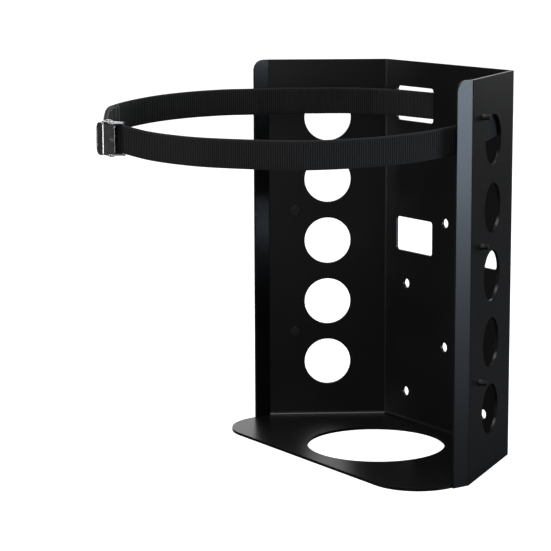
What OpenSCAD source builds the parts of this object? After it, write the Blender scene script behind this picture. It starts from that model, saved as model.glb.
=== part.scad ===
// Wall bracket for one gas cylinder: a folded and punched sheet cradle with a
// welded foot plate, rubber bumpers and a webbing strap with a metal cam buckle.
// Millimetres. +Z is up, -Y is the open front, and the origin lies on the wall
// face, in the middle of the four wall holes.

/* [Sheet] */
// Thickness of the sheet
sheet_t = 2.5; // [2:0.1:4]
// Radius on the inside of each fold
fold_r = 2; // [1:0.5:5]
// Height of the bracket from its foot to its top edge
height = 350; // [330:1:500]
// Width of the back panel, between its inside fold corners
back_w = 181.5; // [175:1:240]
// Width of each side panel, between its inside fold corners
side_w = 113; // [105:1:150]
// Angle by which each side panel turns forward from the back panel
side_angle = 58; // [45:1:70]
// Width of each front flange, from its inside fold corner
flange_w = 16; // [14:0.5:30]
// Radius of the flange's top corner
flange_corner_r = 10; // [4:0.5:13]

/* [Side holes] */
// Diameter of the round holes in the side panels
side_hole_d = 44.5; // [30:0.5:50]
// Number of holes in each side panel
side_hole_count = 5; // [2:1:5]
// Height of the lowest hole's centre above the foot
side_hole_low = 55.5; // [45:0.5:60]
// Distance of the highest hole's centre below the top edge
side_hole_top = 55.5; // [45:0.5:60]

/* [Strap windows] */
// Width of each strap window
window_w = 55; // [40:1:60]
// Height of each strap window
window_h = 32.5; // [30:0.5:40]
// Corner radius of the strap windows
window_corner_r = 3; // [1:0.5:6]
// Width of the web between the two windows of a pair
web_w = 38.5; // [34:0.5:50]
// Distance of the upper pair's centre below the top edge
window_top = 40.3; // [35:0.1:45]
// Distance between the upper and the lower pair
window_pitch = 125.3; // [110:0.5:140]

/* [Wall holes] */
// Diameter of the wall holes
wall_hole_d = 9; // [6:0.5:12]
// Distance between the wall holes, side to side
wall_hole_across = 116; // [100:1:120]
// Distance between the wall holes, up and down
wall_hole_up = 106; // [90:1:110]
// Height of the lower wall holes above the foot
wall_hole_low = 31; // [25:0.5:40]
// Distance between the two middle holes, the lower of which lies between the four
middle_hole_pitch = 118; // [110:1:130]

/* [Foot plate] */
// Thickness of the foot plate
foot_t = 2.5; // [2:0.1:4]
// Reach of the foot plate in front of the back panel's inner face
foot_reach = 160.5; // [155:0.5:220]
// Radius of the foot plate's front corners
foot_corner_r = 44; // [10:1:44]
// Width left between the foot plate's hole and the back panel
foot_rim_back = 16; // [12:0.1:30]
// Width left between the foot plate's hole and its front edge
foot_rim_front = 17.3; // [12:0.1:30]
// Leg length of the weld along the foot plate's seams
weld = 3; // [2:0.5:5]

/* [Bumpers] */
// Number of rubber bumpers on each side panel
bumper_count = 3; // [1:1:3]
// Distance of the highest bumpers below the top edge
bumper_top = 33.5; // [30:0.5:36]
// Distance of the bumpers from the back fold, along the side panel
bumper_along = 87.5; // [82:0.5:96]
// Diameter of the bumper's head
bumper_head_d = 10; // [7:0.5:14]
// Height of the bumper's head
bumper_head_h = 3.4; // [2:0.1:3.6]
// Diameter of the bumper's neck
bumper_neck_d = 4.6; // [3:0.1:6]
// Length of the bumper's tail behind the side panel
bumper_tail = 7; // [5:0.5:12]

/* [Strap] */
// Width of the webbing
strap_w = 25; // [20:0.5:25]
// Thickness of the webbing
strap_t = 1.6; // [1.2:0.1:2]
// Reach of the strap's loop in front of the flanges
loop_reach = 192; // [150:1:240]
// Drop of the loop's front below the upper windows
loop_drop = 20; // [5:1:60]
// Length of the webbing that is folded back and sewn behind the buckle
sewn_length = 36; // [20:1:60]

/* [Buckle] */
// Thickness of the buckle's sheet
buckle_t = 1.2; // [1:0.1:1.5]
// Length of the buckle body's floor under the webbing
floor_l = 15; // [12:0.5:16]
// Diameter of the pivot pin
pivot_d = 3; // [2.5:0.1:3.2]
// Height of the pivot pin above the webbing's middle plane
pivot_rise = 4.9; // [4.8:0.1:5.2]
// Diameter of the bar that carries the sewn end
bar_d = 3.6; // [3:0.1:4]
// Distance from the pivot pin to the bar, along the buckle
bar_along = 11.5; // [11:0.5:14]
// Diameter of the rivet heads
rivet_d = 5.5; // [5:0.1:6]
// Height of the rivet heads
rivet_h = 0.8; // [0.5:0.1:1.2]
// Diameter of the round dish pressed into the lever
dish_d = 5.2; // [3:0.1:7]
// Diameter of the spring's wire
wire_d = 0.7; // [0.5:0.05:0.8]
// Full turns of the spring
spring_turns = 2; // [1:1:2]

/* [Fits] */
// Gap between soft webbing and what it passes
soft_gap = 0.3; // [0.2:0.05:0.5]
// Gap between the webbing's edges and the buckle's ears
ear_gap = 0.9; // [0.3:0.1:1]
// Gap of the bumper's neck in its hole, all round
neck_gap = 0.2; // [0.1:0.05:0.4]
// Gap of a riveted pin in the buckle's ears, all round
rivet_gap = 0.02; // [0.01:0.01:0.05]
// Running gap of the lever on the pivot pin, all round
running_gap = 0.05; // [0.03:0.01:0.1]

/* [Hidden] */

sheet_black = "#1d1e21";
rubber_black = "#141414";
webbing_black = "#232325";
bright_steel = "#c9cbce";

round_fn = 96;
small_fn = 32;
over = 1;

// Corners of the folded sheet's inner outline, on the right-hand side
flange_angle = 90 - side_angle;
side_dir = [cos(side_angle), -sin(side_angle)];
side_in = [-sin(side_angle), -cos(side_angle)];
back_corner = [back_w / 2, -sheet_t];
front_corner = back_corner + side_w * side_dir;
flange_x = front_corner[0];
flange_end_y = front_corner[1] - flange_w;
back_setback = fold_r * tan(side_angle / 2);
front_setback = fold_r * tan(flange_angle / 2);

// The side holes are spread evenly. The two lower bumpers sit half way between two
// holes, and the highest one has its own distance from the top edge
side_hole_pitch = (height - side_hole_low - side_hole_top) / (side_hole_count - 1);
function bumper_z(row) =
    row == 2 ? height - bumper_top : side_hole_low + (2 * row + 0.5) * side_hole_pitch;
window_high = height - window_top;
window_low = window_high - window_pitch;

// Heights are written above the foot, and the origin is the middle of the wall holes
origin_rise = wall_hole_low + wall_hole_up / 2;

module on_foot() {
    translate([0, 0, -origin_rise]) children();
}

module both_sides() {
    children();
    mirror([1, 0, 0]) children();
}

// A frame that lies in the right-hand side panel: X runs forward along its
// inner face, Y points out through the sheet and Z is up
module in_side_panel() {
    translate([back_corner[0], back_corner[1], 0]) rotate(-side_angle) children();
}

// ---- Folded sheet ----

fold_steps = 8;
outer_r = fold_r + sheet_t;
back_centre = [back_corner[0] - back_setback, back_corner[1] - fold_r];
front_centre = back_corner + (side_w - front_setback) * side_dir + fold_r * side_in;

function arc(centre, r, from, to) = [
    for (i = [0 : fold_steps])
        let (a = from + (to - from) * i / fold_steps)
        centre + r * [cos(a), sin(a)]
];
function mirrored(points) = [for (i = [len(points) - 1 : -1 : 0]) [-points[i][0], points[i][1]]];

// Inner and outer lines of the right-hand half, from the back to the flange's free edge
inner_line = concat(
    arc(back_centre, fold_r, 90, flange_angle),
    arc(front_centre, fold_r, flange_angle, 0),
    [[flange_x, flange_end_y]]
);
outer_line = concat(
    [[flange_x + sheet_t, flange_end_y]],
    arc(front_centre, outer_r, 0, flange_angle),
    arc(back_centre, outer_r, flange_angle, 90)
);

module folded_strip() {
    right_half = concat(inner_line, outer_line);
    linear_extrude(height) polygon(concat(right_half, mirrored(right_half)));
}

// What is cut off at the flange's top corner
module flange_corner() {
    translate([flange_x - over, flange_end_y + flange_corner_r, height - flange_corner_r])
        difference() {
            translate([0, -flange_corner_r - over, 0])
                cube([sheet_t + 2 * over, flange_corner_r + over, flange_corner_r + over]);
            rotate([0, 90, 0]) cylinder(r = flange_corner_r, h = sheet_t + 2 * over, $fn = round_fn);
        }
}

module rounded_window(w, h, r) {
    square([w - 2 * r, h], center = true);
    square([w, h - 2 * r], center = true);
    for (x = [-1, 1], z = [-1, 1])
        translate([x * (w / 2 - r), z * (h / 2 - r)]) circle(r, $fn = small_fn);
}

// A round hole through a sheet whose inner face lies on the local XZ plane
module sheet_hole(d) {
    translate([0, -over, 0]) rotate([-90, 0, 0])
        cylinder(d = d, h = sheet_t + 2 * over, $fn = round_fn);
}

module window_pair() {
    both_sides()
        translate([(web_w + window_w) / 2, over, 0]) rotate([90, 0, 0])
            linear_extrude(sheet_t + 2 * over) rounded_window(window_w, window_h, window_corner_r);
}

module wall_openings() {
    translate([0, 0, window_high]) window_pair();
    translate([0, 0, window_low]) window_pair();
    for (x = [-1, 1], z = [0, 1])
        translate([x * wall_hole_across / 2, -sheet_t, wall_hole_low + z * wall_hole_up])
            sheet_hole(wall_hole_d);
    for (i = [0, 1])
        translate([0, -sheet_t, origin_rise + i * middle_hole_pitch]) sheet_hole(wall_hole_d);
}

module side_openings() {
    in_side_panel() {
        for (i = [0 : side_hole_count - 1])
            translate([side_w / 2, 0, side_hole_low + i * side_hole_pitch]) sheet_hole(side_hole_d);
        for (i = [0 : bumper_count - 1])
            translate([bumper_along, 0, bumper_z(i)])
                sheet_hole(bumper_neck_d + 2 * neck_gap);
    }
}

module bracket_shell() {
    color(sheet_black) on_foot() difference() {
        folded_strip();
        wall_openings();
        both_sides() {
            side_openings();
            flange_corner();
        }
    }
}

// ---- Foot plate ----

foot_front_y = -sheet_t - foot_reach;
foot_hole_d = foot_reach - foot_rim_back - foot_rim_front;
foot_hole_y = foot_rim_back + foot_hole_d / 2;
foot_round_y = foot_front_y + foot_corner_r;

// Outline of the plate: it fills the folded strip and clears the inside of its folds
module foot_outline() {
    back_start = back_corner - [back_setback, 0];
    side_start = back_corner + back_setback * side_dir;
    side_end = front_corner - front_setback * side_dir;
    flange_start = front_corner - [0, front_setback];
    both_sides()
        polygon([
            [0, -sheet_t], back_start, side_start, side_end, flange_start,
            [flange_x, foot_round_y], [0, foot_round_y]
        ]);
    both_sides() {
        translate([0, foot_front_y]) square([flange_x - foot_corner_r, foot_corner_r]);
        translate([flange_x - foot_corner_r, foot_round_y]) circle(foot_corner_r, $fn = round_fn);
    }
}

// Hollow fillet of weld along the local X axis, against a wall on the local XZ plane
module weld_bead(length) {
    rotate([90, 0, 90]) linear_extrude(length) difference() {
        translate([-weld, 0]) square(weld);
        translate([-weld, weld]) circle(weld, $fn = small_fn);
    }
}

module weld_seams() {
    intersection() {
        linear_extrude(foot_t + weld) foot_outline();
        translate([0, 0, foot_t]) union() {
            translate([-back_w / 2, -sheet_t, 0]) weld_bead(back_w);
            both_sides() in_side_panel() weld_bead(side_w);
        }
    }
}

module foot_plate() {
    color(sheet_black) on_foot() {
        difference() {
            linear_extrude(foot_t) foot_outline();
            translate([0, -sheet_t - foot_hole_y, -over])
                cylinder(d = foot_hole_d, h = foot_t + 2 * over, $fn = round_fn);
        }
        weld_seams();
    }
}

// ---- Rubber bumpers ----

// Turned profile along Z: the head points down, inside the bracket, its seat is
// at zero and the tail stands out behind the sheet
module bumper() {
    neck_r = bumper_neck_d / 2;
    head_r = bumper_head_d / 2;
    barb_r = neck_r + neck_gap + 0.6;
    barb_seat = sheet_t + 0.1;
    tail_end = sheet_t + bumper_tail;
    bead_h = 1.6;
    rotate_extrude($fn = small_fn) {
        difference() {
            translate([0, -bumper_head_h]) square([head_r, bumper_head_h]);
            translate([head_r - 2, -bumper_head_h - over]) square([2 + over, over + 1]);
            translate([head_r - 2, -bumper_head_h]) difference() {
                square(2 + over);
                translate([0, 2]) circle(2, $fn = small_fn);
            }
        }
        polygon([
            [0, -1], [neck_r, -1], [neck_r, barb_seat], [barb_r, barb_seat],
            [neck_r - 0.1, barb_seat + 2.2], [neck_r - 0.3, tail_end - bead_h],
            [neck_r + 0.2, tail_end - bead_h / 2], [neck_r, tail_end], [0, tail_end]
        ]);
    }
}

module side_bumper(row) {
    color(rubber_black) on_foot() in_side_panel()
        translate([bumper_along, 0, bumper_z(row)]) rotate([-90, 0, 0]) bumper();
}

module bumper_right(row) {
    side_bumper(row);
}

module bumper_left(row) {
    mirror([1, 0, 0]) side_bumper(row);
}

// ---- Strap ----

// A point of the free loop: share of the flange's distance from the middle, share of
// the reach in front of the flanges
function in_loop(across, forward) = [across * flange_x, flange_end_y - forward * loop_reach];

// The buckle's own frame: X runs along the webbing to the sewn end, Y points out
// of the loop and the origin is the webbing's middle under the pivot pin
buckle_turn = 195;
buckle_share = 0.71;
buckle_drop = buckle_share * loop_drop;
buckle_xy = in_loop(-0.455, 1.043);
buckle_z = window_high - buckle_drop;
bar_sink = 3;
floor_start = -9.5;

function turned(p, a) = [p[0] * cos(a) - p[1] * sin(a), p[0] * sin(a) + p[1] * cos(a)];
function in_buckle(p) = buckle_xy + turned(p, buckle_turn);
function with_height(p, fall) = [p[0], p[1], window_high - fall * loop_drop];

strap_off = strap_t / 2 + soft_gap;
bumper_clear = bumper_head_h + strap_off;
slack = 0.5;

// A point of the strap beside a side panel: share of the panel's width, distance off
// it and share of the loop's drop
function by_panel(side, share, off, fall) =
    let (p = back_corner + share * side_w * side_dir + off * side_in)
    with_height([side * p[0], p[1]], fall);

// A point beside a flange's free edge: distance inside the flange, share of the
// flange's width behind the edge and share of the loop's drop
function by_flange(side, inside, behind, fall) =
    with_height([side * (flange_x - inside), flange_end_y + behind * flange_w], fall);

// The webbing turns round the bar on this radius, and leaves it at this angle
bar_xy = in_buckle([bar_along, -bar_sink]);
wrap_r = bar_d / 2 + strap_off;
leave_angle = 150;
leave_out = [cos(leave_angle + 90), sin(leave_angle + 90)];
window_in_x = web_w / 2;
window_out_x = web_w / 2 + window_w;
front_face_y = -sheet_t - strap_off - 0.2;

// Middle line of the strap, from the bar round the back of the web to the buckle
leave_run = 2 * wrap_r;
bumper_share = bumper_along / side_w;
tail_off = wrap_r + strap_t - bar_sink + soft_gap;
tail_end = strap_w / 6;
route = [
    with_height(bar_xy + wrap_r * leave_out, buckle_share),
    with_height(bar_xy + wrap_r * leave_out + leave_run * [cos(leave_angle), sin(leave_angle)], 0.7),
    with_height(in_loop(-0.72, 0.98), 0.55),
    with_height(in_loop(-0.875, 0.895), 0.33),
    with_height(in_loop(-1.03, 0.785), 0.31),
    with_height(in_loop(-1.145, 0.635), 0.24),
    with_height(in_loop(-1.18, 0.47), 0.12),
    with_height(in_loop(-1.15, 0.3), 0.02),
    with_height(in_loop(-1.08, 0.14), -0.04),
    by_flange(-1, -7 * slack, -0.6, -0.05),
    by_flange(-1, strap_off + 2 * slack, 0, -0.06),
    by_flange(-1, strap_off + 5 * slack, 0.4, -0.07),
    by_panel(-1, 0.88, bumper_clear + slack, -0.07),
    by_panel(-1, bumper_share, bumper_clear + slack, -0.07),
    by_panel(-1, bumper_share - 0.15, bumper_clear - 2 * slack, -0.06),
    by_panel(-1, 0.38, strap_off + slack, -0.05),
    by_panel(-1, 0.2, strap_off + slack, -0.02),
    by_panel(-1, 0.09, strap_off + 3 * slack, 0),
    [slack * 4 - window_out_x, front_face_y, window_high],
    [-(window_in_x + window_out_x) / 2, (front_face_y + strap_off) / 2, window_high],
    [-window_in_x, strap_off, window_high],
    [0, strap_off, window_high],
    [window_in_x, strap_off, window_high],
    [(window_in_x + window_out_x) / 2, (front_face_y + strap_off) / 2, window_high],
    [window_out_x - slack * 4, front_face_y, window_high],
    by_panel(1, 0.09, strap_off + 3 * slack, 0.03),
    by_panel(1, 0.2, strap_off + 2 * slack, 0.06),
    by_panel(1, 0.38, strap_off + 4 * slack, 0.15),
    by_panel(1, bumper_share - 0.15, bumper_clear + slack, 0.28),
    by_panel(1, 0.91, bumper_clear + 7 * slack, 0.45),
    by_flange(1, strap_off + 16 * slack, 0.1, 0.56),
    with_height(in_loop(0.91, 0.15), 0.72),
    with_height(in_loop(0.85, 0.32), 0.84),
    with_height(in_loop(0.755, 0.495), 0.91),
    with_height(in_loop(0.62, 0.655), 0.95),
    with_height(in_loop(0.435, 0.79), 0.94),
    with_height(in_loop(0.21, 0.895), 0.95),
    with_height(in_loop(0, 0.945), 0.95),
    with_height(in_loop(-0.2, 0.985), 0.9),
    with_height(in_buckle([1.5 * floor_start, 0]), 0.75),
    with_height(in_buckle([floor_start, 0]), buckle_share),
    with_height(in_buckle([0, 0]), buckle_share),
    with_height(in_buckle([bar_along / 3, 0]), buckle_share),
    with_height(in_buckle([bar_along, tail_off]), buckle_share),
    with_height(in_buckle([bar_along + tail_end, tail_off]), buckle_share)
];

// Smooth curve through the route's points
route_steps = 5;
function route_at(i) = route[max(0, min(len(route) - 1, i))];
function blend(a, b, c, d, t) =
    0.5 * ((2 * b) + (c - a) * t + (2 * a - 5 * b + 4 * c - d) * t * t
        + (3 * b - a - 3 * c + d) * t * t * t);
main_run = [
    for (i = [0 : len(route) - 2], s = [0 : route_steps - 1])
        blend(route_at(i - 1), route_at(i), route_at(i + 1), route_at(i + 2), s / route_steps),
    route[len(route) - 1]
];

// Turn of the webbing round the bar, from its sewn layer to the outer layer
wrap_steps = 12;
wrap_turn = [
    for (i = [1 : wrap_steps - 1])
        let (a = leave_angle - 90 - 180 * i / wrap_steps)
        with_height(bar_xy + wrap_r * [cos(a), sin(a)], buckle_share)
];

// The sewn layer lies inside the outer layer and opens towards the bar
function tangent(path, i) =
    let (d = path[min(len(path) - 1, i + 1)] - path[max(0, i - 1)], f = [d[0], d[1]])
    f / norm(f);
function left_of(v) = [-v[1], v[0]];
function run_to(path, n) = n < 1 ? 0 : norm(path[n] - path[n - 1]) + run_to(path, n - 1);
sewn_gap = 0.25;
open_run = 2 * bar_d + strap_t;
function layer_gap(run) =
    let (k = min(1, run / open_run), e = k * k * (3 - 2 * k))
    (1 - e) * 2 * wrap_r + e * (strap_t + sewn_gap);
function inner_layer_point(i) =
    let (n = left_of(tangent(main_run, i)), g = layer_gap(run_to(main_run, i)))
    main_run[i] - [n[0] * g, n[1] * g, 0];
sewn_rings = [for (i = [0 : 60]) if (run_to(main_run, i) <= sewn_length) i];
inner_layer = [for (k = [len(sewn_rings) - 1 : -1 : 0]) inner_layer_point(sewn_rings[k])];

strap_path = concat(inner_layer, wrap_turn, main_run);

function strap_ring(path, i) =
    let (n = left_of(tangent(path, i)) * strap_t / 2, c = path[i], h = strap_w / 2)
    [
        [c[0] - n[0], c[1] - n[1], c[2] - h],
        [c[0] + n[0], c[1] + n[1], c[2] - h],
        [c[0] + n[0], c[1] + n[1], c[2] + h],
        [c[0] - n[0], c[1] - n[1], c[2] + h]
    ];

// A closed skin over rings that all have the same number of points
module skin(rings) {
    n = len(rings[0]);
    last = len(rings) - 1;
    points = [for (r = rings, p = r) p];
    walls = [
        for (i = [0 : last - 1], k = [0 : n - 1])
            let (a = i * n + k, b = i * n + (k + 1) % n)
            each [[a, b, b + n], [a, b + n, a + n]]
    ];
    start = [for (k = [n - 1 : -1 : 0]) k];
    end = [for (k = [0 : n - 1]) last * n + k];
    polyhedron(points, concat([start, end], walls));
}

module strap() {
    color(webbing_black) on_foot()
        skin([for (i = [0 : len(strap_path) - 1]) strap_ring(strap_path, i)]);
}

// ---- Cam buckle ----

module at_buckle() {
    on_foot() translate([buckle_xy[0], buckle_xy[1], buckle_z]) rotate(buckle_turn) children();
}

floor_top = -strap_t / 2 - soft_gap;
ear_in = strap_w / 2 + ear_gap;
ear_out = ear_in + buckle_t;
pivot = [0, pivot_rise];
bar = [bar_along, -bar_sink];
ear_end = bar_along + 4;
peg = [5.6, pivot_rise - 1];
peg_r = 0.7;
peg_l = 2.9;

// Side view of one ear, rounded about the pivot pin and the bar
module ear_outline() {
    polygon([
        [floor_start, floor_top - buckle_t], [floor_start, 0.4], [-6.6, 3.2], [-2.6, pivot_rise + 2.1],
        [2, pivot_rise + 2.7], [8, pivot_rise + 0.9], [ear_end - 1.2, 2.6], [ear_end, 0.6],
        [ear_end, -bar_sink - 1], [bar_along + 1.4, -bar_sink - 3.1], [bar_along - 2, -bar_sink - 3],
        [floor_start + floor_l, floor_top - buckle_t]
    ]);
    translate(pivot) circle(3.3, $fn = small_fn);
    translate(bar) circle(3.4, $fn = small_fn);
}

module ear() {
    difference() {
        translate([0, 0, ear_in]) linear_extrude(buckle_t) ear_outline();
        translate([pivot[0], pivot[1], ear_in - over])
            cylinder(r = pivot_d / 2 + rivet_gap, h = buckle_t + 2 * over, $fn = small_fn);
        translate([bar[0], bar[1], ear_in - over])
            cylinder(r = bar_d / 2 + rivet_gap, h = buckle_t + 2 * over, $fn = small_fn);
    }
}

module buckle_body() {
    color(bright_steel) at_buckle() {
        translate([floor_start, floor_top - buckle_t, -ear_out]) cube([floor_l, buckle_t, 2 * ear_out]);
        ear();
        mirror([0, 0, 1]) ear();
        translate([peg[0], peg[1], ear_in - peg_l]) cylinder(r = peg_r, h = peg_l, $fn = small_fn);
    }
}

module rivet(x, y, d) {
    translate([x, y, -ear_out]) cylinder(d = d, h = 2 * ear_out, $fn = small_fn);
    for (s = [0, 1]) mirror([0, 0, s]) translate([x, y, ear_out]) {
        cylinder(d = rivet_d, h = rivet_h / 2, $fn = small_fn);
        translate([0, 0, rivet_h / 2])
            cylinder(d1 = rivet_d, d2 = rivet_d - rivet_h, h = rivet_h / 2, $fn = small_fn);
    }
}

module pivot_pin() {
    color(bright_steel) at_buckle() rivet(pivot[0], pivot[1], pivot_d);
}

module strap_bar() {
    color(bright_steel) at_buckle() rivet(bar[0], bar[1], bar_d);
}

// The lever is one folded piece: a face plate, a thumb plate turned down from it,
// two cheeks on the pivot pin and a toothed lip that bites the webbing
face_start = [-5.5, 7];
face_bend = [5, 10.8];
thumb_end = [15.5, 8];
lever_w = 2 * (ear_in - 0.7);
thumb_w = 2 * (ear_out - 0.3);
thumb_start = face_bend[0] + 1.6;
cheek_out = 9.8;
curl_r = 1.1;
thumb_corner_r = 5.5;
tooth_h = 0.35;
tooth_count = 5;
lip_bottom = strap_t / 2 + soft_gap + tooth_h;
lip_top = lip_bottom + 0.85;
lip_start = 0.2;
lip_end = 3.8;

function angle_of(a, b) = atan2(b[1] - a[1], b[0] - a[0]);
function along(angle) = [cos(angle), sin(angle)];

// Side view of the face and thumb plates as one bent strip
face_angle = angle_of(face_start, face_bend);
thumb_angle = angle_of(face_bend, thumb_end);
face_up = along(face_angle + 90);
thumb_up = along(thumb_angle + 90);
lever_fold_r = 3;
lever_fold_centre = face_bend
    - (lever_fold_r + buckle_t) * (face_up + thumb_up) / (1 + face_up * thumb_up);
lever_strip = concat(
    [face_start],
    arc(lever_fold_centre, lever_fold_r + buckle_t, face_angle + 90, thumb_angle + 90),
    [thumb_end, thumb_end - buckle_t * thumb_up],
    arc(lever_fold_centre, lever_fold_r, thumb_angle + 90, face_angle + 90),
    [face_start - buckle_t * face_up]
);

// Shallow round dish in the face plate, cut by a ball of the right size
module dish() {
    dish_depth = 0.5;
    ball_r = (dish_d * dish_d / 4 + dish_depth * dish_depth) / (2 * dish_depth);
    middle = dish_d / 2 + 0.8;
    translate(face_start) rotate(face_angle) translate([middle, ball_r - dish_depth, 0])
        rotate([90, 0, 0]) sphere(ball_r, $fn = round_fn);
}

// What is cut off at one corner of the thumb plate
module thumb_corner() {
    translate(thumb_end) rotate(thumb_angle)
        translate([-thumb_corner_r, over, thumb_w / 2 - thumb_corner_r]) rotate([90, 0, 0])
            linear_extrude(buckle_t + 2 * over) difference() {
                square(thumb_corner_r + over);
                circle(thumb_corner_r, $fn = 48);
            }
}

// What is cut off at one side of the face plate, which lies between the ears
module face_side() {
    translate([face_start[0] - over, 0, lever_w / 2])
        cube([thumb_start - face_start[0] + over, 2 * face_bend[1], thumb_w]);
}

module face_and_thumb() {
    difference() {
        translate([0, 0, -thumb_w / 2]) linear_extrude(thumb_w) polygon(lever_strip);
        face_side();
        mirror([0, 0, 1]) face_side();
        dish();
        thumb_corner();
        mirror([0, 0, 1]) thumb_corner();
    }
    translate(thumb_end) rotate(thumb_angle)
        translate([-0.5, -0.7, thumb_corner_r + 0.3 - thumb_w / 2])
            cylinder(r = curl_r, h = thumb_w - 2 * thumb_corner_r - 0.6, $fn = small_fn);
}

module cheek() {
    translate([0, 0, cheek_out - buckle_t]) difference() {
        linear_extrude(buckle_t) {
            polygon([
                face_start + [0.35, -buckle_t / 2], [-2.8, pivot_rise - 1.4], [lip_start, lip_top - 0.5],
                [lip_end, lip_top - 0.5], [4.9, pivot_rise], [face_bend[0] + 1.5, face_bend[1] - 1.8],
                face_bend + [0, -buckle_t / 2]
            ]);
            translate(pivot) circle(2.6, $fn = small_fn);
        }
        translate([pivot[0], pivot[1], -over])
            cylinder(r = pivot_d / 2 + running_gap, h = buckle_t + 2 * over, $fn = small_fn);
    }
}

module toothed_lip() {
    pitch = (lip_end - lip_start) / tooth_count;
    translate([0, 0, -cheek_out]) linear_extrude(2 * cheek_out) {
        translate([lip_start, lip_bottom]) square([lip_end - lip_start, lip_top - lip_bottom]);
        for (i = [0 : tooth_count - 1])
            translate([lip_start + i * pitch, lip_bottom])
                polygon([[0, 0], [pitch * 0.35, -tooth_h], [pitch, 0], [pitch, 0.2], [0, 0.2]]);
    }
}

module cam_lever() {
    color(bright_steel) at_buckle() {
        face_and_thumb();
        cheek();
        mirror([0, 0, 1]) cheek();
        toothed_lip();
    }
}

// Torsion spring between the upper cheek and the upper ear: its fixed leg lies
// under the ear's peg, and its other leg lifts the lever's front edge
coil_r = pivot_d / 2 + wire_d / 2 + 0.25;
coil_pitch = wire_d + 0.15;
coil_low = cheek_out + 0.25 + wire_d / 2;
coil_steps = 14;
coil_turns = spring_turns + 0.25;
coil_line = [
    for (i = [0 : coil_steps * coil_turns])
        let (a = -90 - 360 * i / coil_steps)
        [coil_r * cos(a), pivot_rise + coil_r * sin(a), coil_low + coil_pitch * i / coil_steps]
];
coil_end = coil_line[len(coil_line) - 1];
spring_line = concat(
    [[peg[0] + 1, pivot_rise - coil_r, coil_low], [peg[0] / 2, pivot_rise - coil_r, coil_low]],
    coil_line,
    [coil_end + [-0.5, 0.7, 0.05], coil_end + [-1.4, 1, 0.05]]
);

function unit(v) = v / norm(v);
function wire_ring(line, i) =
    let (
        t = unit(line[min(len(line) - 1, i + 1)] - line[max(0, i - 1)]),
        u = unit(cross(t, [0, 0, 1])),
        v = cross(u, t)
    )
    [for (k = [0 : 7]) line[i] + wire_d / 2 * (cos(45 * k) * u + sin(45 * k) * v)];

module cam_spring() {
    color(bright_steel) at_buckle()
        skin([for (i = [0 : len(spring_line) - 1]) wire_ring(spring_line, i)]);
}

bracket_shell();
foot_plate();
bumper_left(0);  // bumper_left_low
bumper_left(1);  // bumper_left_mid
bumper_left(2);  // bumper_left_top
bumper_right(0);  // bumper_right_low
bumper_right(1);  // bumper_right_mid
bumper_right(2);  // bumper_right_top
strap();
buckle_body();
cam_lever();
pivot_pin();
strap_bar();
cam_spring();
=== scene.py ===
# %% [markdown]
# # A wall bracket that holds one gas cylinder
#
# The real thing is a sheet cradle, folded and punched from 2.5 mm steel and powder
# coated black, with a foot plate welded inside it, six rubber bumpers that keep the
# cylinder off the paint, and a loop of ribbed webbing with a plated cam buckle.
# The packed CAD model gives every piece its place. This lesson gives each piece its
# rounded edges, its surface and its light, and adds the weave and the stitching that
# only the look needs.

# %% Load the frame and keep its size
import math

import bmesh
import bpy
from mathutils import Matrix, Vector


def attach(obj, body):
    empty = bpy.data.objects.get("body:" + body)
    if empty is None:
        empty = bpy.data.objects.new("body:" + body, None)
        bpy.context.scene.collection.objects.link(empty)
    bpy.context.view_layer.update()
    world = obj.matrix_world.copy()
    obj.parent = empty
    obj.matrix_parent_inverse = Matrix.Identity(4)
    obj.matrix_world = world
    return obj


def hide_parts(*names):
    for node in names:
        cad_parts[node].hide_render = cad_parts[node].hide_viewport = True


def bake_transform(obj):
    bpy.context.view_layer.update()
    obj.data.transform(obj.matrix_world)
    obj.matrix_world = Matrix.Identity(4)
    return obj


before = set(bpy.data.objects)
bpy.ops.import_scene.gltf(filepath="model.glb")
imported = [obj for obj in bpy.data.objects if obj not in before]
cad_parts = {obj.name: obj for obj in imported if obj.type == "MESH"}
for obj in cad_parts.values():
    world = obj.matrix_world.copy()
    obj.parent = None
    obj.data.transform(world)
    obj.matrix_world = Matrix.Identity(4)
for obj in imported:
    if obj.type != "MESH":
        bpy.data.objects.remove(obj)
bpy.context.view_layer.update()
mm = 0.001
print("CAD nodes:", len(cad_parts))

# %% [markdown]
# ## Camera
# The bracket is seen from its right and a little above, through a long lens that
# keeps its upright folds nearly parallel. A constraint could aim the camera, but its
# place and its three turns are written out instead, so nothing has to be solved. The
# lens shift only centres the picture.

# %% Camera
camera_place = (1.4926, -1.2131, 0.4058)
view_turn = math.radians(55.26)
view_fall = math.radians(9.796)
view_roll = 0.00265

camera_data = bpy.data.cameras.new("camera")
camera_data.lens = 135.74
camera_data.sensor_width = 36
camera_data.shift_x = -0.0271
camera_data.shift_y = -0.0112
camera_data.clip_end = 50
camera = bpy.data.objects.new("camera", camera_data)
bpy.context.scene.collection.objects.link(camera)
camera.matrix_world = (
    Matrix.Translation(camera_place)
    @ Matrix.Rotation(view_turn, 4, "Z")
    @ Matrix.Rotation(math.pi / 2 - view_fall, 4, "X")
    @ Matrix.Rotation(-view_roll, 4, "Z")
)
bpy.context.scene.camera = camera
bpy.context.scene.view_settings.view_transform = "Standard"
print("camera distance:", round(Vector(camera_place).length, 2), "m")

# %% [markdown]
# ## Shader maths
# A material is easier to read as sums and products than as a drawing of boxes. The
# small class below wraps one output socket, and each operator adds its Math node.


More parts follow.
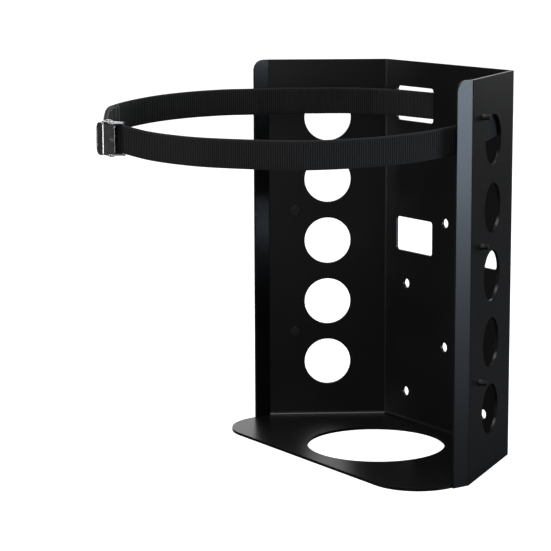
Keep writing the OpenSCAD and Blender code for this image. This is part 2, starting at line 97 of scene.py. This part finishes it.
# %% Sockets that can be added and multiplied
class Value:
    def __init__(self, finish, socket):
        self.finish = finish
        self.socket = socket

    def maths(self, operation, *others):
        inputs = dict(enumerate((self, *others)))
        return self.finish.node("ShaderNodeMath", {"operation": operation}, inputs)

    def __add__(self, other):
        return self.maths("ADD", other)

    __radd__ = __add__

    def __sub__(self, other):
        return self.maths("SUBTRACT", other)

    def __rsub__(self, other):
        return (self * -1) + other

    def __mul__(self, other):
        return self.maths("MULTIPLY", other)

    __rmul__ = __mul__

    def sine(self):
        return self.maths("SINE")

    def size(self):
        return self.maths("ABSOLUTE")

    def above(self, edge):
        return self.maths("GREATER_THAN", edge)


print("a socket knows:", [word for word in vars(Value) if not word.startswith("_")])

# %% [markdown]
# The second class holds one material. Its method `node` makes any kind of node from
# its settings and the values or links of its sockets, and the others are short names
# for the few nodes that every finish here needs. Noise lies on Object coordinates, so
# it keeps its scale and moves with its piece.


# %% One material and its nodes
class Finish:
    def __init__(self, name):
        self.material = bpy.data.materials.new(name)
        self.material.use_nodes = True
        self.tree = self.material.node_tree
        self.shader = self.tree.nodes["Principled BSDF"]

    def node(self, kind, settings, inputs, output=0):
        made = self.tree.nodes.new(kind)
        for key, value in settings.items():
            setattr(made, key, value)
        for key, value in inputs.items():
            self.feed(made.inputs[key], value)
        return Value(self, made.outputs[output])

    def feed(self, socket, value):
        if isinstance(value, Value):
            self.tree.links.new(value.socket, socket)
        else:
            socket.default_value = value

    def set(self, **values):
        for key, value in values.items():
            self.feed(self.shader.inputs[key.replace("_", " ")], value)

    def noise(self, scale, detail=2.0, roughness=0.5):
        place = self.node("ShaderNodeTexCoord", {}, {}, "Object")
        inputs = {"Scale": scale, "Detail": detail, "Roughness": roughness, "Vector": place}
        return self.node("ShaderNodeTexNoise", {}, inputs)

    def mix(self, share, first, second):
        inputs = {0: share, 6: first, 7: second}
        return self.node("ShaderNodeMix", {"data_type": "RGBA"}, inputs, 2)

    def bump(self, height, strength, distance):
        inputs = {"Strength": strength, "Distance": distance, "Height": height}
        self.set(Normal=self.node("ShaderNodeBump", {}, inputs))


def grey(level, blue=0.0):
    return (level, level, level * (1 + blue), 1)


print("half grey with a little blue:", grey(0.5, blue=0.1))

# %% [markdown]
# ## Powder coat
# Powder melts into a skin with a fine orange peel and a half gloss. Its colour is
# nearly black, so all that the eye reads is the soft reflection. The peel could be
# real displacement, but it is far finer than a pixel, so a low bump does, and a
# broad, faint change of roughness keeps the skin from looking like poured plastic.


# %% Powder coat
def powder_coat():
    finish = Finish("black_powder_coat")
    peel = finish.noise(scale=1100, detail=2)
    broad = finish.noise(scale=9, detail=3)
    colour = finish.mix(broad, grey(0.0026, 0.1), grey(0.0048, 0.1))
    finish.set(Base_Color=colour, Roughness=broad * 0.08 + 0.27)
    finish.set(IOR=1.5, Specular_IOR_Level=0.42)
    finish.bump(peel, strength=0.25, distance=0.06 * mm)
    return finish.material


coat = powder_coat()
print("finish:", coat.name)

# %% [markdown]
# ## Plated steel and the hem's painted highlight
# The buckle's sheet is bright plated steel. Plating is smooth, with small hand marks
# that only show in its highlights. The lever's rolled hem gets a finish of its own:
# its far brighter metal is a painted highlight, so that the thin hem reads as a bright line.


# %% Plated steel and the hem's painted highlight
def plated_steel():
    finish = Finish("bright_plated_steel")
    marks = finish.noise(scale=420, detail=4, roughness=0.6)
    cloud = finish.noise(scale=60, detail=3)
    finish.set(Base_Color=finish.mix(cloud, grey(0.46, 0.03), grey(0.56, 0.03)))
    finish.set(Metallic=1.0, Roughness=marks * 0.16 + 0.14)
    finish.bump(cloud, strength=0.1, distance=0.2 * mm)
    return finish.material


def bright_hem_steel():
    finish = Finish("hem_steel_painted_highlight")
    marks = finish.noise(scale=600, detail=3)
    # painted highlight: a base colour far brighter than the plating
    finish.set(Base_Color=finish.mix(marks, grey(0.82), grey(0.92)), Metallic=1.0)
    finish.set(Roughness=marks * 0.12 + 0.2)
    return finish.material


steel = plated_steel()
painted_highlight_steel = bright_hem_steel()
print("finishes:", steel.name, "and", painted_highlight_steel.name)

# %% [markdown]
# ## Spring wire and rubber
# The spring is plain drawn wire, a little rougher than the plating. The bumpers are
# black rubber with a soft, fine skin, so they are told from the sheet by their
# highlights alone.


# %% Spring wire and rubber
def spring_wire():
    finish = Finish("spring_wire")
    drawn = finish.noise(scale=1500, detail=2)
    finish.set(Base_Color=finish.mix(drawn, grey(0.42), grey(0.5)), Metallic=1.0)
    finish.set(Roughness=drawn * 0.1 + 0.28)
    return finish.material


def bumper_rubber():
    finish = Finish("black_rubber")
    skin_grain = finish.noise(scale=2200, detail=2)
    finish.set(Base_Color=finish.mix(skin_grain, grey(0.004), grey(0.008)))
    finish.set(Roughness=skin_grain * 0.1 + 0.3)
    finish.bump(skin_grain, strength=0.2, distance=0.05 * mm)
    return finish.material


wire = spring_wire()
rubber = bumper_rubber()
print("finishes:", wire.name, "and", rubber.name)

# %% [markdown]
# ## Softened copies of the rigid pieces
# No real edge is perfectly sharp: the coat is thicker round a punched edge, and that
# small round catches a line of light. A Bevel modifier would stumble on a CAD node's
# loose triangles, so a copy is merged, its flat faces are joined again, and only its
# sharp edges get a small bevel. Faces that meet at a low angle are shaded as one.

# %% A copy with rounded edges
same_point = 2e-6
flat_joint = math.radians(1)
shading_break = math.radians(35)


def softened(node, material, body, radius, steps=2, angle=28):
    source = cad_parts[node]
    mesh = source.data.copy()
    mesh.name = node + "_surface"
    shape = bmesh.new()
    shape.from_mesh(mesh)
    bmesh.ops.remove_doubles(shape, verts=shape.verts, dist=same_point)
    bmesh.ops.dissolve_limit(
        shape, angle_limit=flat_joint, verts=shape.verts, edges=shape.edges, delimit=set()
    )
    sharp_from = math.radians(angle)
    sharp = [e for e in shape.edges if e.is_manifold and e.calc_face_angle(0) > sharp_from]
    bmesh.ops.bevel(
        shape, geom=sharp, affect="EDGES", offset=radius, offset_type="OFFSET",
        segments=steps, profile=0.5, material=-1, clamp_overlap=True,
    )
    for face in shape.faces:
        face.smooth = True
    for edge in shape.edges:
        edge.smooth = not edge.is_manifold or edge.calc_face_angle(0) < shading_break
    shape.to_mesh(mesh)
    shape.free()
    mesh.materials.clear()
    mesh.materials.append(material)
    piece = bpy.data.objects.new(node + "_finished", mesh)
    bpy.context.scene.collection.objects.link(piece)
    level = piece.modifiers.new("even_shading", "WEIGHTED_NORMAL")
    level.keep_sharp = True
    if body:
        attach(piece, body)
    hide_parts(node)
    print(node, "softened:", len(mesh.polygons), "faces")
    return piece


# %% Shell, foot plate and bumpers
softened("bracket_shell", coat, "bracket", 0.35 * mm)
softened("foot_plate", coat, "bracket", 0.3 * mm)
for side in ("left", "right"):
    for row in ("low", "mid", "top"):
        softened(f"bumper_{side}_{row}", rubber, "bracket", 0.25 * mm, angle=40)

# %% Buckle
softened("buckle_body", steel, "bracket", 0.18 * mm)
lever_piece = softened("cam_lever", steel, "lever", 0.18 * mm)
softened("pivot_pin", steel, "bracket", 0.15 * mm)
softened("strap_bar", steel, "bracket", 0.15 * mm)

# %% [markdown]
# ## Spring
# A torsion spring winds up as the lever opens: its low leg stays under the ear's peg
# and its high leg goes with the lever. A spring that rides on one body would leave a
# leg behind, so the spring is given no body and stays where the CAD model puts it.

# %% Spring on no body
spring_piece = softened("cam_spring", wire, None, 0.02 * mm, steps=1, angle=60)
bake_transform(spring_piece)

# %% [markdown]
# ## The webbing's route
# The strap is one length of 25 mm webbing. It starts at its sewn end on the bar, runs
# along the left side, behind the web between the upper windows, along the right side
# and round to the buckle. A cloth simulation would let it drop off the bumpers, so
# its route is drawn through listed points. The sizes repeat the CAD model's, in metres.

# %% Sizes that the route follows
sheet_thick = 2.5 * mm
air = 0.3 * mm
strap_width = 25 * mm
strap_thick = 1.6 * mm
clear = strap_thick / 2 + air
slack = 0.5 * mm

side_angle = math.radians(58)
side_reach = 113 * mm
back_corner = Vector((90.75, -2.5)) * mm
side_run = Vector((math.cos(side_angle), -math.sin(side_angle)))
side_inward = Vector((-math.sin(side_angle), -math.cos(side_angle)))
flange_width = 16 * mm
flange_corner = back_corner + side_run * side_reach
flange_edge = flange_corner.y - flange_width
over_bumper = 3.4 * mm + clear
bumper_share = 87.5 / 113

window_height = 225.7 * mm
web_edge, window_edge = 19.25 * mm, 74.25 * mm
in_front = -sheet_thick - clear - 0.2 * mm
half_way = ((web_edge + window_edge) / 2, (in_front + clear) / 2)

loop_reach = 192 * mm
loop_drop = 20 * mm
print("the loop reaches", round((loop_reach - flange_edge) / mm), "mm from the wall")

# %% [markdown]
# Each helper below turns a few plain numbers into a point: a place in the open loop,
# in the buckle, beside a side panel or beside a front flange. A fall of 0 is at the
# height of the upper windows' middle, and a fall of 1 is one loop drop below it.


# %% Places in the loop, the buckle and the panels
def hung(point, fall):
    return Vector((point[0], point[1], window_height - fall * loop_drop))


def in_loop(across, forward):
    return Vector((across * flange_corner.x, flange_edge - forward * loop_reach))


buckle_turn = math.radians(195)
buckle_share = 0.71
buckle_place = in_loop(-0.455, 1.043)
buckle_along = Vector((math.cos(buckle_turn), math.sin(buckle_turn)))
buckle_out = Vector((-math.sin(buckle_turn), math.cos(buckle_turn)))


def in_buckle(along, out=0.0):
    return buckle_place + buckle_along * along + buckle_out * out


def by_panel(side, share, off, fall):
    point = back_corner + side_run * (share * side_reach) + side_inward * off
    return hung((side * point.x, point.y), fall)


def by_flange(side, inside, behind, fall):
    return hung((side * (flange_corner.x - inside), flange_edge + behind * flange_width), fall)


print("buckle at", [round(v / mm, 1) for v in hung(buckle_place, buckle_share)], "mm")

# %% [markdown]
# At the buckle the sewn end goes round the bar, and the free end lies over it.

# %% The bar and what goes round it
bar_along, bar_sink, bar_radius = 11.5 * mm, 3 * mm, 1.8 * mm
floor_start = -9.5 * mm
bar_centre = in_buckle(bar_along, -bar_sink)
wrap_radius = bar_radius + clear
tail_rise = wrap_radius + strap_thick - bar_sink + air
leave = math.radians(150)
leave_out = Vector((-math.sin(leave), math.cos(leave)))
leave_run = Vector((math.cos(leave), math.sin(leave)))
print("the webbing turns round the bar at", round(wrap_radius / mm, 2), "mm")

# %% Points of the route
left_loop = [
    (-0.72, 0.98, 0.55), (-0.875, 0.895, 0.33), (-1.03, 0.785, 0.31), (-1.145, 0.635, 0.24),
    (-1.18, 0.47, 0.12), (-1.15, 0.3, 0.02), (-1.08, 0.14, -0.04),
]
front_loop = [
    (0.91, 0.15, 0.72), (0.85, 0.32, 0.84), (0.755, 0.495, 0.91), (0.62, 0.655, 0.95),
    (0.435, 0.79, 0.94), (0.21, 0.895, 0.95), (0, 0.945, 0.95), (-0.2, 0.985, 0.9),
]
route = [
    hung(bar_centre + leave_out * wrap_radius, buckle_share),
    hung(bar_centre + leave_out * wrap_radius + leave_run * (2 * wrap_radius), 0.7),
]
route += [hung(in_loop(across, forward), fall) for across, forward, fall in left_loop]
route += [
    by_flange(-1, -7 * slack, -0.6, -0.05),
    by_flange(-1, clear + 2 * slack, 0, -0.06),
    by_flange(-1, clear + 5 * slack, 0.4, -0.07),
    by_panel(-1, 0.88, over_bumper + slack, -0.07),
    by_panel(-1, bumper_share, over_bumper + slack, -0.07),
    by_panel(-1, bumper_share - 0.15, over_bumper - 2 * slack, -0.06),
    by_panel(-1, 0.38, clear + slack, -0.05),
    by_panel(-1, 0.2, clear + slack, -0.02),
    by_panel(-1, 0.09, clear + 3 * slack, 0),
    hung((4 * slack - window_edge, in_front), 0),
    hung((-half_way[0], half_way[1]), 0),
    hung((-web_edge, clear), 0),
    hung((0, clear), 0),
    hung((web_edge, clear), 0),
    hung(half_way, 0),
    hung((window_edge - 4 * slack, in_front), 0),
    by_panel(1, 0.09, clear + 3 * slack, 0.03),
    by_panel(1, 0.2, clear + 2 * slack, 0.06),
    by_panel(1, 0.38, clear + 4 * slack, 0.15),
    by_panel(1, bumper_share - 0.15, over_bumper + slack, 0.28),
    by_panel(1, 0.91, over_bumper + 7 * slack, 0.45),
    by_flange(1, clear + 16 * slack, 0.1, 0.56),
]
route += [hung(in_loop(across, forward), fall) for across, forward, fall in front_loop]
route += [
    hung(in_buckle(1.5 * floor_start), 0.75),
    hung(in_buckle(floor_start), buckle_share),
    hung(in_buckle(0), buckle_share),
    hung(in_buckle(bar_along / 3), buckle_share),
    hung(in_buckle(bar_along, tail_rise), buckle_share),
    hung(in_buckle(bar_along + strap_width / 6, tail_rise), buckle_share),
]
print("drawn points:", len(route))

# %% [markdown]
# Webbing bends in long, even curves. A Catmull-Rom curve goes through every drawn
# point without handles, which a Bezier curve would need at each of them.

# %% A smooth line through the points
steps_between = 10


def curve_through(points, steps):
    line = []
    last = len(points) - 1
    for i in range(last):
        a, b, c, d = (points[max(0, min(last, i + k))] for k in (-1, 0, 1, 2))
        for s in range(steps):
            t = s / steps
            line.append(
                0.5 * (2 * b + (c - a) * t + (2 * a - 5 * b + 4 * c - d) * t**2
                       + (3 * b - a - 3 * c + d) * t**3)
            )
    return line + [points[last]]


main_run = curve_through(route, steps_between)
print("points of the strap's free run:", len(main_run))

# %% [markdown]
# ## Two layers at the sewn end
# The sewn end turns round the bar and lies against the run that it came from. Its
# inner layer is the main run again, shifted sideways: by the bar's width at the bar,
# and soon by little more than the webbing's thickness.


# %% Inner layer and the turn round the bar
def level_left(line, i):
    ahead = line[min(len(line) - 1, i + 1)] - line[max(0, i - 1)]
    return Vector((-ahead.y, ahead.x, 0)).normalized()


def lengths(line):
    run = [0.0]
    for a, b in zip(line, line[1:]):
        run.append(run[-1] + (b - a).length)
    return run


sewn_length = 97 * mm
layer_air = 0.25 * mm
closing_run = 4 * bar_radius + strap_thick
turn_steps = 24


def layer_gap(run):
    k = min(1.0, run / closing_run)
    eased = k * k * (3 - 2 * k)
    return (1 - eased) * 2 * wrap_radius + eased * (strap_thick + layer_air)


inner_layer = [
    point - level_left(main_run, i) * layer_gap(run)
    for i, (point, run) in enumerate(zip(main_run, lengths(main_run)))
    if run <= sewn_length
]
bar_turn = []
for i in range(1, turn_steps):
    angle = leave - math.pi / 2 - math.pi * i / turn_steps
    around = Vector((math.cos(angle), math.sin(angle))) * wrap_radius
    bar_turn.append(hung(bar_centre + around, buckle_share))
strap_line = inner_layer[::-1] + bar_turn + main_run
print("points of the whole strap:", len(strap_line))

# %% [markdown]
# ## Skin over rings
# Webbing, thread and the lever's hem are all a section that travels along a line and
# changes a little on its way. A curve with a bevel can't turn and thin its section so
# freely, so rings are placed along the line, bridged one to the next, and capped.


# %% Rings bridged to a closed skin
def round_ring(middle, radius, corners, first, second):
    angles = [math.tau * j / corners for j in range(corners)]
    return [
        middle + first * (radius * math.cos(a)) + second * (radius * math.sin(a)) for a in angles
    ]


def skin(shape, rings):
    loops = [[shape.verts.new(point) for point in ring] for ring in rings]
    borders = [
        [shape.edges.new(ends) for ends in zip(loop, loop[1:] + loop[:1])] for loop in loops
    ]
    for near, far in zip(borders, borders[1:]):
        for face in bmesh.ops.bridge_loops(shape, edges=near + far)["faces"]:
            face.smooth = True
    for loop in (loops[0], loops[-1]):
        shape.faces.new(loop)
    return loops


def finished_piece(name, shape, material, body):
    bmesh.ops.recalc_face_normals(shape, faces=shape.faces)
    mesh = bpy.data.meshes.new(name)
    shape.to_mesh(mesh)
    shape.free()
    mesh.materials.append(material)
    piece = bpy.data.objects.new(name, mesh)
    bpy.context.scene.collection.objects.link(piece)
    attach(piece, body)
    print(name, "has", len(mesh.polygons), "faces")
    return piece


# %% [markdown]
# ## Webbing's mesh
# The webbing's section has soft, slightly thinner edges. Its own map counts
# millimetres along and across the webbing, so that the ribs keep their pitch round
# every bend, which a pattern on Object coordinates wouldn't.

# %% Webbing's section and mesh
edge_round = 0.55 * mm
edge_thinning = 0.12 * mm
edge_turns = [math.radians(turn) for turn in (20, 45, 70, 90, 110, 135, 160)]


def webbing_section():
    half, thick = strap_width / 2, strap_thick / 2
    rim = [
        (half - edge_round + edge_round * math.sin(a), (thick - edge_thinning) * math.cos(a))
        for a in edge_turns
    ]
    top = [(half * k / 5, thick) for k in range(-4, 5)]
    return top + rim + [(-x, -y) for x, y in top] + [(-x, -y) for x, y in rim]


def webbing(name, line, material):
    section = webbing_section()
    shape = bmesh.new()
    weave = shape.loops.layers.uv.new("weave")
    rings = [
        [point + level_left(line, i) * off + Vector((0, 0, up)) for up, off in section]
        for i, point in enumerate(line)
    ]
    run = lengths(line)
    place = {}
    for walked, loop in zip(run, skin(shape, rings)):
        for vert, (up, _) in zip(loop, section):
            place[vert] = (walked / mm, up / mm)
    for face in shape.faces:
        for corner in face.loops:
            corner[weave].uv = place[corner.vert]
    print(name, "is", round(run[-1], 3), "m long")
    return finished_piece(name, shape, material, "bracket")


print("points in the webbing's section:", len(webbing_section()))

# %% [markdown]
# ## Ribbed weave
# Heavy webbing has cross ribs, each a band of slanting yarns, and a plain selvedge
# along both edges. Real threads would take millions of faces, so sines on the map
# draw them: painted shade darkens the grooves, and a bump gives them their relief. A little
# noise keeps the ribs from being ruler straight, and dust dulls them in patches.

# %% Ribbed webbing
rib_pitch = 1.92
yarn_pitch = 1.1
selvedge_from = 11.0


def ribbed_webbing():
    finish = Finish("ribbed_webbing")
    weave_map = finish.node("ShaderNodeUVMap", {"uv_map": "weave"}, {})
    along = finish.node("ShaderNodeSeparateXYZ", {}, {0: weave_map}, 0)
    across = finish.node("ShaderNodeSeparateXYZ", {}, {0: weave_map}, 1)
    lay = finish.noise(scale=700, detail=2)
    slant = along * (math.pi / rib_pitch)
    rib = ((along + lay * 0.2) * (math.tau / rib_pitch)).sine() * 0.5 + 0.5
    yarn = (across * (math.tau / yarn_pitch) + slant).sine() * 0.5 + 0.5
    rim = across.size().above(selvedge_from)
    height = rib * (0.72 + yarn * 0.28) * (1 - rim) + rim * 0.8
    dust = finish.noise(scale=45, detail=4, roughness=0.65)
    # painted shade: the grooves between the ribs are dark in colour
    shade = finish.mix(rib, grey(0.0003), grey(0.039))
    edged = finish.mix(rim, shade, grey(0.03))
    worn = finish.mix(dust * 0.15, edged, grey(0.012))
    finish.set(Base_Color=worn, Roughness=0.85 - rib * 0.3 + lay * 0.1)
    finish.set(Sheen_Weight=0.05, Sheen_Roughness=0.45, Specular_IOR_Level=0.22)
    finish.bump(height, strength=0.8, distance=0.5 * mm)
    return finish.material


strap_piece = webbing("strap_webbing", strap_line, ribbed_webbing())
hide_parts("strap")

# %% [markdown]
# ## Stitching
# The sewn end is held by a zigzag between two edge seams, and closed by two dense
# cross tacks. Drawn stitches would look printed, so every stitch is a short thread
# that dips at its ends and catches its own light. Both faces of the doubled webbing
# show the same seams.


# %% Thread
def sewing_thread():
    finish = Finish("sewing_thread")
    twist = finish.noise(scale=3500, detail=2)
    finish.set(Base_Color=finish.mix(twist, grey(0.15), grey(0.26)))
    finish.set(Roughness=twist * 0.2 + 0.4, Sheen_Weight=0.3)
    finish.bump(twist, strength=0.4, distance=0.05 * mm)
    return finish.material


thread = sewing_thread()
print("finish:", thread.name)

# %% One stitch
stitch_steps, thread_corners = 6, 6
stitch_rise, stitch_sink = 0.22 * mm, 0.16 * mm
thread_ends, thread_swell = 0.55, 0.45


def stitch(shape, start, end, lift, thick):
    along = end - start
    side = along.cross(lift).normalized()
    rings = []
    for k in range(stitch_steps + 1):
        share = k / stitch_steps
        arch = math.sin(math.pi * share)
        middle = start + along * share + lift * (arch * stitch_rise - stitch_sink)
        radius = thick * (thread_ends + thread_swell * arch)
        rings.append(round_ring(middle, radius, thread_corners, side, lift))
    skin(shape, rings)


# %% [markdown]
# A seam is a straight line on the webbing's map, from one place along and across it
# to another. It is cut into stitches of even pitch with a small gap between them, and
# each stitch is then set on the webbing's face.

# %% Seams of the sewn end
seam_pitch, seam_thread = 2.9 * mm, 0.3 * mm
tack_pitch, tack_thread = 1.5 * mm, 0.42 * mm
tack_spread = 6.5 * mm
seam_margin = 2.2 * mm
zigzag_turns = 7
gap_share = 0.1


def step_at(run, along):
    return min(max(k for k in range(len(run)) if run[k] <= along), len(run) - 2)


def place_on(line, run, along, off, up):
    i = step_at(run, along)
    share = (along - run[i]) / (run[i + 1] - run[i])
    point = line[i].lerp(line[i + 1], share)
    return point + level_left(line, i) * off + Vector((0, 0, up))


def zigzag(near, far, high, turns):
    corners = [
        (near + (far - near) * k / turns, high if k % 2 else -high) for k in range(turns + 1)
    ]
    return list(zip(corners, corners[1:]))


def sewn_seams(name, line, near, far, off, outward):
    run = lengths(line)
    high = strap_width / 2 - seam_margin
    tacks = (far - tack_spread, far)
    edges = [((near, side), (far, side)) for side in (-high, high)]
    thin = edges + zigzag(near, tacks[0], high, zigzag_turns)
    seams = [(seam, seam_pitch, seam_thread) for seam in thin]
    seams += [(((along, -high), (along, high)), tack_pitch, tack_thread) for along in tacks]
    shape = bmesh.new()
    for ((a0, u0), (a1, u1)), pitch, thick in seams:
        count = max(2, round(math.hypot(a1 - a0, u1 - u0) / pitch))
        for k in range(count):
            t0, t1 = (k + gap_share) / count, (k + 1 - gap_share) / count
            start, end = (
                place_on(line, run, a0 + (a1 - a0) * t, off, u0 + (u1 - u0) * t) for t in (t0, t1)
            )
            middle = a0 + (a1 - a0) * (t0 + t1) / 2
            lift = level_left(line, step_at(run, middle)) * outward
            stitch(shape, start, end, lift, thick)
    finished_piece(name, shape, thread, "bracket")


seam_start, seam_end = 12 * mm, sewn_length - 2.5 * mm
outer_face = strap_thick / 2
inner_face = -(strap_thick * 1.5 + layer_air)
sewn_seams("stitches_outer", main_run, seam_start, seam_end, outer_face, 1)
sewn_seams("stitches_inner", main_run, seam_start, seam_end, inner_face, -1)

# %% [markdown]
# ## Rolled edge of the lever
# The lever's front edge is rolled into a thin hem, which shows as a bright line. The
# bevel of the sheet's edge is too small for that, so the hem is a rod with round ends
# that lies in the edge and turns with the lever. Its far brighter metal is a painted
# highlight.

# %% Hem of the lever's front edge
face_tilt = math.atan2(3.8, 10.5)
pivot_height = window_height - buckle_share * loop_drop
lever_edge = (-5.5 * mm, 7 * mm)
hem_radius, hem_half, hem_end = 0.4 * mm, 12.2 * mm, 0.6 * mm
hem_steps, hem_corners = 16, 20


def lever_hem():
    sunk = Vector((math.sin(face_tilt), -math.cos(face_tilt))) * hem_radius
    centre = in_buckle(lever_edge[0] + sunk.x, lever_edge[1] + sunk.y)
    across, forward = Vector((1, 0, 0)), Vector((0, 1, 0))
    rings = []
    for k in range(-hem_steps, hem_steps + 1):
        high = hem_half * math.sin(k / hem_steps * math.pi / 2)
        rounding = min(1.0, math.sqrt(max(0.02, (hem_half - abs(high)) / hem_end)))
        middle = Vector((*centre, pivot_height + high))
        rings.append(round_ring(middle, hem_radius * rounding, hem_corners, across, forward))
    shape = bmesh.new()
    skin(shape, rings)
    finished_piece("lever_hem", shape, painted_highlight_steel, "lever")


lever_hem()

# %% [markdown]
# ## Ring dimple in the lever's face
# A shallow ring is pressed into the lever's face. The CAD model sinks it deeper than
# it looks, so here its floor is lifted most of the way back to the face, and it only
# bends the light. Points are moved in the finished copy, and none is added.

# %% Dimple of the lever
dimple_from_edge = 3.4 * mm
dimple_reach, dimple_core = 2.5 * mm, 1.5 * mm
dimple_depths = (0.02 * mm, 0.6 * mm)
core_fill, ring_fill = 0.9, 0.6


def ring_dimple(mesh):
    along, out = Vector((*buckle_along, 0)), Vector((*buckle_out, 0))
    face_run = along * math.cos(face_tilt) + out * math.sin(face_tilt)
    face_up = out * math.cos(face_tilt) - along * math.sin(face_tilt)
    start = Vector((*in_buckle(*lever_edge), pivot_height))
    middle = start + face_run * dimple_from_edge
    moved = 0
    for vert in mesh.vertices:
        away = vert.co - middle
        depth = -away.dot(face_up)
        reach = (away + face_up * depth).length
        if dimple_depths[0] < depth < dimple_depths[1] and reach < dimple_reach:
            vert.co += face_up * (depth * (core_fill if reach < dimple_core else ring_fill))
            moved += 1
    print("dimple points moved:", moved)


ring_dimple(lever_piece.data)

# %% [markdown]
# ## Floor
# The bracket stands on a plain floor that is white to the camera alone. Black gloss
# that mirrors a white floor would turn grey, so every other ray meets a dark one.

# %% Floor
floor_half = 8
floor_height = -0.0843

floor_mesh = bpy.data.meshes.new("floor")
shape = bmesh.new()
bmesh.ops.create_grid(shape, x_segments=1, y_segments=1, size=floor_half)
bmesh.ops.translate(shape, verts=shape.verts, vec=(0, 0, floor_height))
shape.to_mesh(floor_mesh)
shape.free()
floor = bpy.data.objects.new("floor", floor_mesh)
bpy.context.scene.collection.objects.link(floor)


def floor_paint():
    finish = Finish("studio_floor")
    seen = finish.node("ShaderNodeLightPath", {}, {}, "Is Camera Ray")
    finish.set(Base_Color=finish.mix(seen, grey(0.085), grey(0.8)), Roughness=1.0)
    finish.set(Specular_IOR_Level=0.0)
    finish.set(Emission_Color=finish.mix(seen, grey(0.0), grey(1.0)), Emission_Strength=0.94)
    return finish.material


floor_mesh.materials.append(floor_paint())
print("floor:", 2 * floor_half, "m wide")

# %% [markdown]
# ## Surroundings
# The surroundings are white to the camera too. For all other rays they are dim,
# apart from one broad, soft glow behind the bracket on its left. The coat's gloss
# shows that glow as a smooth change from one fold to the next.

# %% World
glow_way = (-0.82, 0.57, 0.25)
glow = {"From Min": 0.48, "From Max": 0.97, "To Min": 0.06, "To Max": 1.1}
seen_white = 1.0


def studio_world():
    world = bpy.data.worlds.new("studio")
    bpy.context.scene.world = world
    world.use_nodes = True
    nodes, links = world.node_tree.nodes, world.node_tree.links
    sky = nodes["Background"]
    way = nodes.new("ShaderNodeTexCoord")
    aside = nodes.new("ShaderNodeVectorMath")
    aside.operation = "DOT_PRODUCT"
    aside.inputs[1].default_value = glow_way
    links.new(way.outputs["Generated"], aside.inputs[0])
    spread = nodes.new("ShaderNodeMapRange")
    spread.interpolation_type = "SMOOTHSTEP"
    for name, value in glow.items():
        spread.inputs[name].default_value = value
    links.new(aside.outputs["Value"], spread.inputs["Value"])
    path = nodes.new("ShaderNodeLightPath")
    choose = nodes.new("ShaderNodeMix")
    links.new(path.outputs["Is Camera Ray"], choose.inputs[0])
    links.new(spread.outputs[0], choose.inputs[2])
    choose.inputs[3].default_value = seen_white
    links.new(choose.outputs[0], sky.inputs["Strength"])
    sky.inputs["Color"].default_value = (1, 1, 1, 1)
    print("world:", world.name)


studio_world()

# %% [markdown]
# ## Lamps
# Five softboxes light the bracket at a plain level. The top one lights the foot and
# the strap, and the others stand where the flanges, the panels and the buckle mirror
# them. The one at the right is a little blue, as light from a window is.

# %% Softboxes
white = (1, 1, 1)
window_blue = (0.72, 0.84, 1)
softboxes = [  # name, place, aim, width, height, watts, colour
    ("top_softbox", (0.3, -0.5, 1.8), (0, -0.1, 0.05), 1.0, 1.0, 16, white),
    ("right_softbox", (1.6, 0.95, 0.22), (0.1, -0.1, 0.1), 0.8, 0.92, 21.5, window_blue),
    ("front_softbox", (1.35, -1.65, 0.35), (-0.1, -0.05, 0.08), 1.0, 0.8, 4.5, white),
    ("back_softbox", (-0.45, 2.4, 0.9), (0, 0, 0.1), 1.4, 1.1, 8, white),
    ("left_softbox", (-0.6, -1.8, 0.3), (0, -0.3, 0.1), 0.5, 0.9, 6, white),
]


def softbox(name, place, aim, width, height, power, colour):
    lamp = bpy.data.lights.new(name, "AREA")
    lamp.shape = "RECTANGLE"
    lamp.size = width
    lamp.size_y = height
    lamp.energy = power
    lamp.color = colour
    holder = bpy.data.objects.new(name, lamp)
    bpy.context.scene.collection.objects.link(holder)
    holder.location = place
    holder.rotation_euler = (Vector(aim) - Vector(place)).to_track_quat("-Z", "Y").to_euler()
    holder.visible_camera = False


for settings in softboxes:
    softbox(*settings)
print("softboxes:", len(softboxes))

# %% Finish
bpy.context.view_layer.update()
